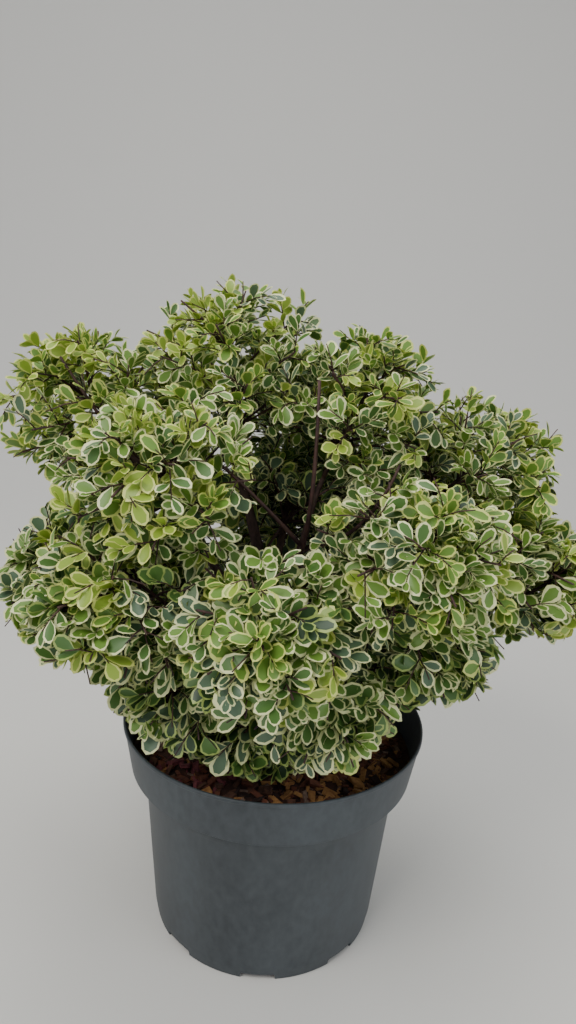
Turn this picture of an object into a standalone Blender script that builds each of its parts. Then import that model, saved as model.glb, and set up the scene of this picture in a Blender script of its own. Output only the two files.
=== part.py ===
"""Kohuhu, a variegated evergreen shrub, in a nursery pot filled with bark growing mix.

Metres, +Z up. The origin is the centre of the pot's flat underside, and -Y is the front.
A short stem stands in the growing mix. Tapering boughs leave it, and each ends in its own mass of foliage.
A mass is one solid: twigs that branch from one main twig, with leaves joined on, round a small core.
"""

import math
import random

import bmesh
import bpy
import numpy as np
from mathutils import Matrix, Vector
from mathutils.bvhtree import BVHTree

SEED = 41

# Pot, by the height of each turn of the wall and its outer radius.
POT_HEIGHT = 0.200
POT_RIM_R = 0.136
POT_LIP_DEPTH = 0.004
POT_LIP_STANDOUT = 0.0012
POT_BAND_FOOT_Z = 0.157
POT_BAND_FOOT_R = 0.1285
POT_STEP_Z = 0.1535
POT_STEP_R = 0.1180
POT_WALL_TOP_Z = 0.140
POT_WALL_TOP_R = 0.1150
POT_WALL_FOOT_Z = 0.012
POT_WALL_FOOT_R = 0.1048
POT_BASE_R = 0.1030
POT_BASE_ROUND = 0.0015
POT_WALL = 0.0020
POT_FLOOR = 0.0030
POT_SEGMENTS = 36
NOTCH_COUNT = 8
NOTCH_WIDTH = 0.030
NOTCH_HEIGHT = 0.006
NOTCH_DEPTH = 0.012

GAP = 0.0003
MIX_TOP_Z = 0.1720
MIX_EDGE_DROP = 0.0040
MIX_FLAT_R = 0.050

# Stem: a flat cut where it meets the mix, a flare just above it, then a steady taper.
STEM_FOOT_Z = MIX_TOP_Z + GAP
STEM_LEVELS = (0.0, 0.012, 0.035, 0.080, 0.130, 0.185, 0.245)
STEM_RADII = (0.0150, 0.0108, 0.0090, 0.0078, 0.0066, 0.0052, 0.0034)
STEM_BEND = (-0.70, 0.20)
STEM_SIDES = 10

BOUGH_SIDES = 5
BOUGH_STEPS = 4
BOUGH_TAPER = 0.52
BOUGH_SINK = 0.80
BOUGH_RISE = 0.55
BOUGH_ROOT_HANDLE = 0.35
BOUGH_TIP_HANDLE = 0.30
SEAT_GROW = GAP * 1.3

# The crown's middle, which every mass grows away from.
CROWN_MIDDLE = (0.0, 0.0, 0.335)

# Masses of foliage: middle (x, y, z) and half sizes (x, y, z).
MASSES = {
    "top_centre": ((-0.052, 0.015, 0.506), (0.096, 0.086, 0.080)),
    "top_left": ((-0.160, 0.012, 0.466), (0.090, 0.090, 0.080)),
    "top_right": ((0.052, -0.008, 0.480), (0.078, 0.088, 0.076)),
    "upper_front": ((-0.085, -0.105, 0.438), (0.085, 0.080, 0.070)),
    "upper_back": ((0.010, 0.110, 0.455), (0.094, 0.086, 0.076)),
    "right": ((0.150, 0.012, 0.430), (0.084, 0.088, 0.076)),
    "front_right": ((0.090, -0.112, 0.392), (0.086, 0.084, 0.068)),
    "far_right": ((0.205, -0.012, 0.354), (0.068, 0.082, 0.062)),
    "left": ((-0.180, -0.012, 0.325), (0.060, 0.086, 0.070)),
    "front_left": ((-0.112, -0.120, 0.352), (0.080, 0.080, 0.066)),
    "front": ((-0.010, -0.150, 0.345), (0.076, 0.070, 0.068)),
    "middle": ((0.012, 0.040, 0.392), (0.080, 0.070, 0.066)),
    "back_left": ((-0.130, 0.115, 0.372), (0.090, 0.086, 0.080)),
    "back_right": ((0.130, 0.115, 0.370), (0.090, 0.086, 0.076)),
    "back": ((0.000, 0.148, 0.345), (0.086, 0.070, 0.076)),
    "skirt_right": ((0.106, -0.056, 0.310), (0.074, 0.078, 0.058)),
    "skirt_front": ((0.036, -0.098, 0.276), (0.066, 0.066, 0.060)),
    "skirt_left": ((-0.072, -0.066, 0.268), (0.076, 0.074, 0.060)),
    "low_front": ((-0.016, -0.062, 0.224), (0.070, 0.058, 0.042)),
    "skirt_back_left": ((-0.100, 0.086, 0.280), (0.084, 0.080, 0.060)),
    "skirt_back_right": ((0.092, 0.086, 0.282), (0.084, 0.080, 0.060)),
}

# Boughs: the limb it leaves, how far along that limb, its radius at the root, and its mass.
BOUGHS = {
    "low_front": ("stem", 0.100, 0.0026),
    "skirt_back_right": ("stem", 0.150, 0.0032),
    "skirt_left": ("stem", 0.185, 0.0030),
    "skirt_front": ("stem", 0.215, 0.0030),
    "skirt_back_left": ("stem", 0.230, 0.0032),
    "skirt_right": ("stem", 0.270, 0.0032),
    "left": ("stem", 0.315, 0.0042),
    "back": ("stem", 0.345, 0.0038),
    "front": ("stem", 0.370, 0.0040),
    "right": ("stem", 0.425, 0.0046),
    "top_left": ("stem", 0.470, 0.0046),
    "upper_back": ("stem", 0.525, 0.0042),
    "top_right": ("stem", 0.580, 0.0042),
    "middle": ("stem", 0.700, 0.0024),
    "front_left": ("left", 0.40, 0.0031),
    "far_right": ("right", 0.50, 0.0031),
    "front_right": ("right", 0.24, 0.0031),
    "upper_front": ("top_left", 0.30, 0.0032),
    "back_left": ("top_left", 0.52, 0.0030),
    "back_right": ("upper_back", 0.34, 0.0031),
}

TWIG_SIDES = 3
MAIN_TWIG_STRAIGHT = 0.012
MAIN_TWIG_STEP_DOWN = 0.95
MAIN_TWIG_REACH = 0.62
MAIN_TWIG_LEAVES = (0.96, 0.93)
MAIN_TWIG_ROOT_R = 0.0026
MAIN_TWIG_TIP_R = 0.0017
SIDE_TWIG_ROOT_R = 0.0021
SIDE_TWIG_TIP_R = 0.0014
SIDE_TWIGS = 9
TWIG_LEAST_OUTWARD = -0.45
SIDE_TWIG_REACH = 0.76
TWIG_ROOM = 0.0015
TWIG_FOOT = 0.45
TWIG_FOOT_SPREAD = 0.35
TWIG_SHORTENING = (1.0, 0.9, 0.8, 0.7, 0.6)
SKIRT_DROOP = 0.15
LEAF_PLACES = (0.95, 0.66, 0.81, 0.90, 0.50, 0.74, 0.58, 0.86)
LEAF_LENGTH = 0.052
LEAF_WIDTH = 0.66
LEAF_THICKNESS = 0.020
LEAF_WIDEST = 0.54
LEAF_FOLD = 0.07
LEAF_SINK = 0.0004
LEAF_LEAN = 0.45
LEAF_OUTWARD = 0.25
LEAF_TILT = 0.15
LEAF_LEAST_FACING = 0.25
LEAF_SMALLEST = 0.58
LEAF_SIZES = (0.88, 1.10)
LEAF_SAMPLE_STEP = 0.005
LEAVES_PER_MASS = 24
LEAF_TRIES = 21
CORE_SHARE = 0.44
CORE_LEAST = 0.20
CORE_UNEVEN = 0.78
CORE_STEP = 0.03
CORE_DRAW_IN = 0.88
CORE_INSET = 0.0012
CORE_ROOM = 0.0015
SPACE_MARGIN = 0.0007
LEAF_ROOM = 0.0034
ROOT_ROOM = 0.0075
LIMB_MARGIN = 0.0042
POT_CLEARANCE = 0.0030
BODY_LEAST_KEPT = 0.60
JOIN_LEAST_AREA = 0.70
FACE_OWN_SIDE = 0.8
FACE_CROWN_SIDE = 0.6
TWIG_SAMPLE_STEP = 0.004
TWIG_MARK_STEP = 0.003
GOLDEN_ANGLE = math.pi * (3.0 - math.sqrt(5.0))

rng = random.Random(SEED)


def clear_scene():
    for old in list(bpy.data.objects):
        bpy.data.objects.remove(old, do_unlink=True)


def new_collection(name):
    collection = bpy.data.collections.new(name)
    bpy.context.scene.collection.children.link(collection)
    return collection


def material(name, colour, roughness):
    made = bpy.data.materials.new(name)
    made.use_nodes = True
    shader = made.node_tree.nodes["Principled BSDF"]
    shader.inputs["Base Color"].default_value = (*colour, 1.0)
    shader.inputs["Roughness"].default_value = roughness
    return made


def add_object(name, bm, collection, surface=None):
    bmesh.ops.recalc_face_normals(bm, faces=bm.faces)
    mesh = bpy.data.meshes.new(name)
    bm.to_mesh(mesh)
    bm.free()
    made = bpy.data.objects.new(name, mesh)
    collection.objects.link(made)
    if surface:
        mesh.materials.append(surface)
    return made


def remove_objects(objects):
    for old in objects:
        bpy.data.objects.remove(old, do_unlink=True)


def turned(name, profile, collection, surface):
    """A closed turned solid from (radius, height) pairs that begin and end on the axis."""
    bm = bmesh.new()
    corners = [bm.verts.new((r, 0.0, z)) for r, z in profile]
    edges = [bm.edges.new(pair) for pair in zip(corners, corners[1:])]
    bmesh.ops.spin(
        bm,
        geom=corners + edges,
        cent=(0, 0, 0),
        axis=(0, 0, 1),
        angle=2.0 * math.pi,
        steps=POT_SEGMENTS,
        use_merge=True,
    )
    bmesh.ops.remove_doubles(bm, verts=bm.verts, dist=1e-6)
    return add_object(name, bm, collection, surface)


def rod(name, points, radii, sides, collection):
    """A tapering rod: a disc at the first point, extruded from point to point."""
    headings = [(b - a).normalized() for a, b in zip(points, points[1:])]
    turns = [headings[0]]
    turns += [(a + b).normalized() for a, b in zip(headings, headings[1:])]
    turns.append(headings[-1])
    bm = bmesh.new()
    bmesh.ops.create_circle(bm, cap_ends=True, segments=sides, radius=radii[0])
    place = Matrix.Translation(points[0]) @ turns[0].to_track_quat("Z", "Y").to_matrix().to_4x4()
    bmesh.ops.transform(bm, matrix=place, verts=bm.verts)
    bm.faces.ensure_lookup_table()
    cap = bm.faces[0]
    for i in range(1, len(points)):
        last = cap
        grown = bmesh.ops.extrude_face_region(bm, geom=[last])["geom"]
        cap = next(g for g in grown if isinstance(g, bmesh.types.BMFace))
        if i > 1:
            bmesh.ops.delete(bm, geom=[last], context="FACES_ONLY")
        bend = turns[i - 1].rotation_difference(turns[i])
        scale = radii[i] / radii[i - 1]
        for corner in cap.verts:
            corner.co = points[i] + bend @ (corner.co - points[i - 1]) * scale
    return add_object(name, bm, collection)


def leaf_corners(root, along, face_up, length):
    """The six corners of a leaf, keyed by the corner of an octahedron that each comes from."""
    across = face_up.cross(along).normalized()
    up = along.cross(across).normalized()
    half_thick = up * (length * LEAF_THICKNESS / 2.0)
    start = root - along * LEAF_SINK
    end = root + along * length
    widest = root + along * (length * LEAF_WIDEST) + up * (length * LEAF_FOLD)
    side = across * (length * LEAF_WIDTH / 2.0)
    return {
        (1, 0, 0): start + half_thick,
        (-1, 0, 0): end - half_thick,
        (0, 1, 0): start - half_thick,
        (0, -1, 0): end + half_thick,
        (0, 0, 1): widest + side,
        (0, 0, -1): widest - side,
    }


def leaf(corners, collection):
    """One leaf of eight faces: an octahedron with its corners moved."""
    bm = bmesh.new()
    bmesh.ops.create_uvsphere(bm, u_segments=4, v_segments=2, radius=1.0)
    for corner in bm.verts:
        corner.co = corners[tuple(round(c) for c in corner.co)]
    return add_object("leaf", bm, collection)


def sampled(points, step):
    """Points along a line of straight pieces, none further apart than step."""
    out = [points[0]]
    for a, b in zip(points, points[1:]):
        count = max(1, math.ceil((b - a).length / step))
        out += [a.lerp(b, (i + 1) / count) for i in range(count)]
    return out


def along_line(points, share):
    """The point and heading at a share of a line's length."""
    lengths = [(b - a).length for a, b in zip(points, points[1:])]
    left = share * sum(lengths)
    for a, b, length in zip(points, points[1:], lengths):
        if left <= length or b is points[-1]:
            return a.lerp(b, min(1.0, left / length)), (b - a).normalized()
        left -= length


class Limb:
    """A stem or bough: its line, its radii and the solid that follows them."""

    def __init__(self, name, points, radii):
        self.name = name
        self.points = points
        self.radii = radii

    def beads(self, step=0.0015):
        """Rows of x, y, z and radius close together along the limb."""
        rows = []
        for i, (a, b) in enumerate(zip(self.points, self.points[1:])):
            count = max(1, math.ceil((b - a).length / step))
            for k in range(count + 1):
                t = k / count
                radius = self.radii[i] + (self.radii[i + 1] - self.radii[i]) * t
                rows.append((*a.lerp(b, t), radius))
        return rows


def stem_limb():
    """The stem, upright at the foot and bending more towards its top."""
    points = []
    for level in STEM_LEVELS:
        points.append(Vector((STEM_BEND[0] * level**2, STEM_BEND[1] * level**2, STEM_FOOT_Z + level)))
    return Limb("stem", points, list(STEM_RADII))


def bough_limb(name, parent, share, root_radius):
    """One tapering limb from its parent to the edge of its mass's space."""
    start, heading = along_line(parent.points, share)
    centre, half = (Vector(v) for v in MASSES[name])
    inward = start - centre
    reach = 1.0 / math.sqrt(sum((inward.normalized()[k] / half[k]) ** 2 for k in range(3)))
    end = centre + inward.normalized() * reach * BOUGH_SINK
    span = (end - start).length
    out = Vector((end.x - start.x, end.y - start.y, 0.0)).normalized()
    first = start + (out + Vector((0, 0, BOUGH_RISE))).normalized() * span * BOUGH_ROOT_HANDLE
    second = end - (centre - end).normalized() * span * BOUGH_TIP_HANDLE
    points = []
    for i in range(BOUGH_STEPS + 1):
        t = i / BOUGH_STEPS
        points.append(
            start * (1 - t) ** 3
            + first * 3 * t * (1 - t) ** 2
            + second * 3 * t * t * (1 - t)
            + end * t**3
        )
    radii = [root_radius * (1.0 - (1.0 - BOUGH_TAPER) * i / BOUGH_STEPS) for i in range(BOUGH_STEPS + 1)]
    return Limb("bough_" + name, points, radii)


def limb_solid(limb, sides, collection, surface):
    made = rod(limb.name, limb.points, limb.radii, sides, collection)
    made.data.materials.append(surface)
    return made


def swollen(limb, sides, grow, cutters):
    """The same limb made thicker by grow, to cut a seat for what leaves it."""
    cutter = rod(limb.name + "_seat", limb.points, [r + grow for r in limb.radii], sides, cutters)
    cutter.hide_render = True
    cutter.display_type = "WIRE"
    return cutter


def apply_boolean(target, operation, collection, solver="EXACT"):
    """Joins or cuts the target with every object of a collection and returns the new mesh."""
    modifier = target.modifiers.new("boolean", "BOOLEAN")
    modifier.operation = operation
    modifier.operand_type = "COLLECTION"
    modifier.collection = collection
    modifier.solver = solver
    view = bpy.context.evaluated_depsgraph_get()
    result = bpy.data.meshes.new_from_object(target.evaluated_get(view))
    target.modifiers.remove(modifier)
    return result


def keep_one_body(target, mesh, surface, least_area=0.0):
    """Gives the target the largest closed shell of a mesh, without loose scraps or hollows.

    Returns False, and leaves the target as it was, where that shell isn't closed, is smaller
    than least_area or would lose most of the mesh.
    """
    bm = bmesh.new()
    bm.from_mesh(mesh)
    bpy.data.meshes.remove(mesh)
    whole = sum(face.calc_area() for face in bm.faces)
    bmesh.ops.remove_doubles(bm, verts=bm.verts, dist=1e-6)
    bmesh.ops.triangulate(bm, faces=bm.faces)
    unseen = set(bm.faces)
    shells = []
    while unseen:
        shell = set()
        queue = [unseen.pop()]
        while queue:
            face = queue.pop()
            shell.add(face)
            for edge in face.edges:
                for other in edge.link_faces:
                    if other in unseen:
                        unseen.remove(other)
                        queue.append(other)
        shells.append(shell)
    shells.sort(key=lambda s: sum(f.calc_area() for f in s))
    scraps = [face for shell in shells[:-1] for face in shell]
    bmesh.ops.delete(bm, geom=scraps, context="FACES")
    kept = sum(face.calc_area() for face in bm.faces)
    small = kept < max(least_area, BODY_LEAST_KEPT * whole)
    if small or any(len(edge.link_faces) != 2 for edge in bm.edges):
        bm.free()
        return False
    for face in bm.faces:
        face.material_index = 0
    bm.to_mesh(target.data)
    bm.free()
    target.data.materials.clear()
    target.data.materials.append(surface)
    return True


def join_mass(base, parts, surface):
    """Joins a mass into one solid. Where both solvers fail, it gives up its last leaf."""
    while parts.objects:
        area = sum(face.area for piece in [base, *parts.objects] for face in piece.data.polygons)
        for solver in ("EXACT", "MANIFOLD"):
            joined = apply_boolean(base, "UNION", parts, solver)
            if keep_one_body(base, joined, surface, JOIN_LEAST_AREA * area):
                return
            print(base.name, "isn't whole by", solver, "with", len(parts.objects), "pieces")
        remove_objects([parts.objects[-1]])


class Space:
    """The room that one mass keeps to: its own ellipsoid, its side of every plane between
    two masses, clear of every limb and clear of the pot."""

    def __init__(self, name, limb_beads):
        self.centre, self.half = (np.array(v) for v in MASSES[name])
        self.weight = float(np.mean(self.half))
        self.others = []
        for other, (centre, half) in MASSES.items():
            if other != name:
                self.others.append((np.array(centre), float(np.mean(half))))
        self.beads = limb_beads
        self.placed = np.zeros((0, 3))
        self.core = None

    def add(self, points):
        """Remembers a leaf or twig, so that the next ones keep off it."""
        self.placed = np.vstack([self.placed, [tuple(p) for p in points]])

    def crowded(self, points, root):
        """True where points other than those by the root come near a placed leaf or the core."""
        free = [p for p in points if (p - root).length > ROOT_ROOM]
        if self.core is not None:
            for p in free:
                near, normal, _, _ = self.core.find_nearest(p)
                if (p - near).dot(normal) < CORE_ROOM:
                    return True
        if not len(self.placed):
            return False
        rows = np.array([tuple(p) for p in free])
        return np.linalg.norm(rows[:, None] - self.placed[None], axis=2).min() < LEAF_ROOM

    def margin(self, points):
        """How far the points are inside the planes that part this mass from the others."""
        least = np.inf
        own = ((points - self.centre) ** 2).sum(1) - self.weight**2
        for centre, weight in self.others:
            theirs = ((points - centre) ** 2).sum(1) - weight**2
            apart = 2.0 * np.linalg.norm(centre - self.centre)
            least = min(least, float(((theirs - own) / apart).min()))
        return least

    def limb_gap(self, points):
        away = np.linalg.norm(points[:, None] - self.beads[None, :, :3], axis=2)
        return float((away - self.beads[None, :, 3]).min())

    def holds(self, points, grow=0.0):
        points = np.array([tuple(p) for p in points])
        if (((points - self.centre) / (self.half + grow)) ** 2).sum(1).max() > 1.0:
            return False
        if self.margin(points) < SPACE_MARGIN + grow:
            return False
        if not clear_of_pot(points, POT_CLEARANCE + grow):
            return False
        return self.limb_gap(points) > LIMB_MARGIN + grow


def clear_of_pot(points, margin):
    """True where every point is over the mix inside the mouth, or outside the pot."""
    out = np.hypot(points[:, 0], points[:, 1])
    mouth = out < POT_BAND_FOOT_R - POT_WALL - margin
    over_mix = points[:, 2] > MIX_TOP_Z + margin
    above = points[:, 2] > POT_HEIGHT + margin
    beside = out > POT_RIM_R + margin
    return bool(np.all(above | beside | (mouth & over_mix)))


def spread_direction(k, count, turn):
    """The k-th of count directions spread evenly over a ball."""
    z = 1.0 - (2.0 * k + 1.0) / count
    flat = math.sqrt(max(0.0, 1.0 - z * z))
    angle = k * GOLDEN_ANGLE + turn
    return Vector((flat * math.cos(angle), flat * math.sin(angle), z))


def scaled(direction, half, share):
    return Vector([direction[k] * half[k] * share for k in range(3)])


def leaf_samples(c):
    """Points over a leaf close enough together to tell whether it is clear of a limb."""
    start = (c[(1, 0, 0)] + c[(0, 1, 0)]) / 2.0
    end = (c[(-1, 0, 0)] + c[(0, -1, 0)]) / 2.0
    left = c[(0, 0, 1)]
    right = c[(0, 0, -1)]
    middle = start.lerp(end, LEAF_WIDEST)
    lines = [[start, end], [start, left, end], [start, right, end], [left, middle, right]]
    lines.append([start, left.lerp(middle, 0.5), end])
    lines.append([start, right.lerp(middle, 0.5), end])
    found = [p for line in lines for p in sampled(line, LEAF_SAMPLE_STEP)]
    return found + list(c.values())


def place_leaf(space, at, heading, spin, outward, length):
    """The corners of a leaf that fits its space, or None if no turn or size of it fits."""
    side = heading.orthogonal().normalized()
    other = heading.cross(side)
    for attempt in range(LEAF_TRIES):
        turn = spin + attempt * GOLDEN_ANGLE
        away = side * math.cos(turn) + other * math.sin(turn)
        along = (heading * LEAF_LEAN + away + outward * LEAF_OUTWARD).normalized()
        face_up = outward + away * LEAF_TILT
        if face_up.cross(along).length < LEAF_LEAST_FACING:
            continue
        size = length * (1.0 - (1.0 - LEAF_SMALLEST) * attempt / LEAF_TRIES)
        corners = leaf_corners(at, along, face_up, size)
        points = leaf_samples(corners)
        if space.holds(points) and not space.crowded(points, at):
            space.add(points)
            return corners
    return None


def core_solid(space, centre, half, collection):
    """An uneven lump in the middle of a mass, drawn in wherever a neighbour, limb or pot is near."""
    bm = bmesh.new()
    bmesh.ops.create_icosphere(bm, subdivisions=1, radius=1.0)
    for corner in bm.verts:
        direction = corner.co.copy()
        share = CORE_SHARE * rng.uniform(CORE_UNEVEN, 1.0)
        while share > CORE_LEAST and not space.holds([centre + scaled(direction, half, share)], CORE_INSET):
            share -= CORE_STEP
        corner.co = centre + scaled(direction, half, share)
    for _ in range(12):
        near = set()
        for face in bm.faces:
            a, b, c = (v.co for v in face.verts)
            spots = [(a + b) / 2, (b + c) / 2, (c + a) / 2, (a + b + c) / 3]
            spots += [(spot + (a + b + c) / 3) / 2 for spot in spots[:3]]
            rows = np.array([tuple(p) for p in spots])
            if space.limb_gap(rows) < LIMB_MARGIN or not clear_of_pot(rows, POT_CLEARANCE):
                near.update(v.index for v in face.verts)
        if not near:
            break
        for corner in bm.verts:
            if corner.index in near:
                corner.co = centre + (corner.co - centre) * CORE_DRAW_IN
    space.core = BVHTree.FromBMesh(bm)
    return add_object("core", bm, collection)


def side_twig(space, foot, direction, centre, half, skirt):
    """A straight twig from the main twig towards the edge of the space, as far as it fits."""
    for reach in TWIG_SHORTENING:
        far = centre + scaled(direction, half, SIDE_TWIG_REACH * reach)
        if skirt:
            far.z -= (far - foot).length * SKIRT_DROOP
        if space.holds(sampled([foot, far], TWIG_SAMPLE_STEP)[2:], TWIG_ROOM):
            return [foot, far]
    return None


def main_twig(name, bough):
    """The twig that carries a mass, from just clear of its bough's tip out through its middle."""
    centre, half = (Vector(v) for v in MASSES[name])
    heading = (bough.points[-1] - bough.points[-2]).normalized()
    outward = (centre - Vector(CROWN_MIDDLE)).normalized()
    start = bough.points[-1] + heading * GAP
    bend = start + heading * MAIN_TWIG_STRAIGHT
    end = centre + scaled(outward, half, MAIN_TWIG_REACH)
    root_r = min(MAIN_TWIG_ROOT_R, bough.radii[-1] * MAIN_TWIG_STEP_DOWN)
    radii = [root_r, root_r, (root_r + MAIN_TWIG_TIP_R) / 2.0, MAIN_TWIG_TIP_R]
    return Limb("leaves_" + name, [start, bend, centre, end], radii)


def grow_mass(name, spine_limb, beads, collection, surface):
    """Builds one mass: main twig, core, side twigs and leaves, joined into one solid."""
    centre, half = (Vector(v) for v in MASSES[name])
    space = Space(name, beads)
    outward = (centre - Vector(CROWN_MIDDLE)).normalized()
    skirt = name.startswith(("skirt", "low"))
    parts = new_collection("pieces_" + name)
    spine = spine_limb.points
    run = (spine[-1] - spine[0]).normalized()
    base = rod(spine_limb.name, spine, spine_limb.radii, TWIG_SIDES, collection)
    core_solid(space, centre, half, parts)
    turn = rng.uniform(0.0, 2.0 * math.pi)
    twigs = []
    for k in range(SIDE_TWIGS):
        direction = spread_direction(k, SIDE_TWIGS, turn)
        if direction.dot(outward) < TWIG_LEAST_OUTWARD:
            continue
        ahead = max(0.0, direction.dot(run))
        foot, _ = along_line(spine, TWIG_FOOT + TWIG_FOOT_SPREAD * ahead)
        line = side_twig(space, foot, direction, centre, half, skirt)
        if line:
            twigs.append(line)
            space.add(sampled(line, TWIG_MARK_STEP))
            rod("twig", line, [SIDE_TWIG_ROOT_R, SIDE_TWIG_TIP_R], TWIG_SIDES, parts)
    space.add(sampled(spine, TWIG_MARK_STEP))
    order = [(place, spine) for place in MAIN_TWIG_LEAVES]
    order += [(place, line) for place in LEAF_PLACES for line in twigs]
    spin = rng.uniform(0.0, 2.0 * math.pi)
    leaves = 0
    for place, line in order:
        if leaves >= LEAVES_PER_MASS:
            break
        at, direction = along_line(line, place)
        local = (at - centre).normalized()
        spin += GOLDEN_ANGLE
        aim = (local * FACE_OWN_SIDE + outward * FACE_CROWN_SIDE).normalized()
        length = LEAF_LENGTH * rng.uniform(*LEAF_SIZES)
        corners = place_leaf(space, at, direction, spin, aim, length)
        if corners:
            leaf(corners, parts)
            leaves += 1
    join_mass(base, parts, surface)
    remove_objects(list(parts.objects))
    bpy.data.collections.remove(parts)
    print(f"{name}: {len(twigs)} twigs, {leaves} leaves, {len(base.data.polygons)} faces")


def pot_outer():
    lip_foot = POT_HEIGHT - POT_LIP_DEPTH
    return [
        (POT_BASE_R - POT_BASE_ROUND, 0.0),
        (POT_BASE_R, POT_BASE_ROUND),
        (POT_WALL_FOOT_R, POT_WALL_FOOT_Z),
        (POT_WALL_TOP_R, POT_WALL_TOP_Z),
        (POT_STEP_R, POT_STEP_Z),
        (POT_BAND_FOOT_R, POT_BAND_FOOT_Z),
        (POT_RIM_R - POT_LIP_STANDOUT, lip_foot),
        (POT_RIM_R, lip_foot + POT_LIP_STANDOUT),
        (POT_RIM_R, POT_HEIGHT),
    ]


def pot_inner(offset):
    """The inside of the pot's wall, moved in by an offset, from the floor up to the lip."""
    thick = POT_WALL + offset
    return [
        (POT_BASE_R - thick, POT_FLOOR + offset),
        (POT_WALL_FOOT_R - thick, POT_WALL_FOOT_Z),
        (POT_WALL_TOP_R - thick, POT_WALL_TOP_Z),
        (POT_STEP_R - thick, POT_STEP_Z + thick),
        (POT_BAND_FOOT_R - thick, POT_BAND_FOOT_Z + thick),
        (POT_RIM_R - thick, POT_HEIGHT),
    ]


def build_pot(collection, cutters, surface):
    profile = [(0.0, 0.0)] + pot_outer() + pot_inner(0.0)[::-1] + [(0.0, POT_FLOOR)]
    pot = turned("pot", profile, collection, surface)
    for k in range(NOTCH_COUNT):
        bm = bmesh.new()
        bmesh.ops.create_cube(bm, size=1.0)
        turn = Matrix.Rotation(2.0 * math.pi * k / NOTCH_COUNT - math.pi / 2.0, 4, "Z")
        reach = NOTCH_DEPTH * 2.0
        size = Matrix.Diagonal((reach, NOTCH_WIDTH, NOTCH_HEIGHT * 2.0, 1.0))
        move = Matrix.Translation((POT_BASE_R - NOTCH_DEPTH + reach / 2.0, 0.0, 0.0))
        bmesh.ops.transform(bm, matrix=turn @ move @ size, verts=bm.verts)
        cutter = add_object("notch_%d" % (k + 1), bm, cutters)
        cutter.hide_render = True
        cutter.display_type = "WIRE"
    keep_one_body(pot, apply_boolean(pot, "DIFFERENCE", cutters), surface)
    return pot


def build_mix(collection, surface):
    wall = pot_inner(GAP)
    low, high = wall[-2], wall[-1]
    edge_z = MIX_TOP_Z - MIX_EDGE_DROP
    share = (edge_z - low[1]) / (high[1] - low[1])
    edge_r = low[0] + (high[0] - low[0]) * share
    profile = [(0.0, wall[0][1])] + wall[:-1] + [(edge_r, edge_z)]
    profile += [(MIX_FLAT_R, MIX_TOP_Z), (0.0, MIX_TOP_Z)]
    return turned("growing_mix", profile, collection, surface)


def main():
    clear_scene()
    parts = new_collection("kohuhu")
    pot_cutters = new_collection("pot_cutters")
    plastic = material("pot_plastic", (0.078, 0.098, 0.118), 0.50)
    chips = material("bark_chips", (0.110, 0.052, 0.030), 0.90)
    bark = material("stem_bark", (0.075, 0.040, 0.036), 0.75)
    foliage = material("foliage", (0.300, 0.360, 0.150), 0.45)
    build_pot(parts, pot_cutters, plastic)
    build_mix(parts, chips)

    limbs = {"stem": stem_limb()}
    limb_solid(limbs["stem"], STEM_SIDES, parts, bark)
    for name, (parent, share, radius) in BOUGHS.items():
        limbs[name] = bough_limb(name, limbs[parent], share, radius)
        solid = limb_solid(limbs[name], BOUGH_SIDES, parts, bark)
        seat = new_collection("seat_of_" + name)
        sides = STEM_SIDES if parent == "stem" else BOUGH_SIDES
        swollen(limbs[parent], sides, SEAT_GROW, seat)
        keep_one_body(solid, apply_boolean(solid, "DIFFERENCE", seat), bark)

    spines = {name: main_twig(name, limbs.get(name, limbs["stem"])) for name in MASSES}
    for name, spine in spines.items():
        in_the_way = list(limbs.values()) + [other for other in spines.values() if other is not spine]
        beads = np.array([row for limb in in_the_way for row in limb.beads()])
        grow_mass(name, spine, beads, parts, foliage)


main()
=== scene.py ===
import math
import random

import bmesh
import bpy
import numpy as np
from mathutils import Matrix, Vector, noise


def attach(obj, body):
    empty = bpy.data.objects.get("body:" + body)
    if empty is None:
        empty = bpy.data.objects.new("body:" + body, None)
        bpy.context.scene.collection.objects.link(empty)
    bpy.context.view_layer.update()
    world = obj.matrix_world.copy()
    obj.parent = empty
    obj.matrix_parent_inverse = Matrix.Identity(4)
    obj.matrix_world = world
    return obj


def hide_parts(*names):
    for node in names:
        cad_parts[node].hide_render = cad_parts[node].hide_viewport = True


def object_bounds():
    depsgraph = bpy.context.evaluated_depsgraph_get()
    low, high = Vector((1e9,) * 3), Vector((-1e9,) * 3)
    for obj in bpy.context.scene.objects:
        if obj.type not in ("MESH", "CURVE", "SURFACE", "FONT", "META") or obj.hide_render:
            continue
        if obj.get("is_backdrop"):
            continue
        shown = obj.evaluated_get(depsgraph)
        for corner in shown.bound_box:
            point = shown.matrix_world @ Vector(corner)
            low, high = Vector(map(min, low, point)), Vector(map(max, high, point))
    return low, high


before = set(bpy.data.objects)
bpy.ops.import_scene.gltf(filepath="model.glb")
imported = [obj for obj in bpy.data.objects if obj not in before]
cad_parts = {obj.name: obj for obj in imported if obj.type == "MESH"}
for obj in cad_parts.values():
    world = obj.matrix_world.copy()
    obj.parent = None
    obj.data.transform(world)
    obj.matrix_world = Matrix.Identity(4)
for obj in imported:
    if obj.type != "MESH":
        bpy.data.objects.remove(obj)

# The dressed kohuhu: pot, growing mix, bark on every limb, and leaves grown mass by mass.
# Metres, +Z up, -Y towards the camera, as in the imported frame.
CAD_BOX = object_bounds()
MERGE_DISTANCE = 1e-7
SEED = 23
rng = random.Random(SEED)

# Camera, as the photograph was taken.
PHOTO_HEIGHT_PIXELS = 1024
CAMERA_PLACE = Vector((0.0014, -0.6374, 0.5685))
CAMERA_DOWN = 0.2715
CAMERA_ROLL = 0.0626
FOCAL_PIXELS = 773.3
SENSOR_MM = 36.0

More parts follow.
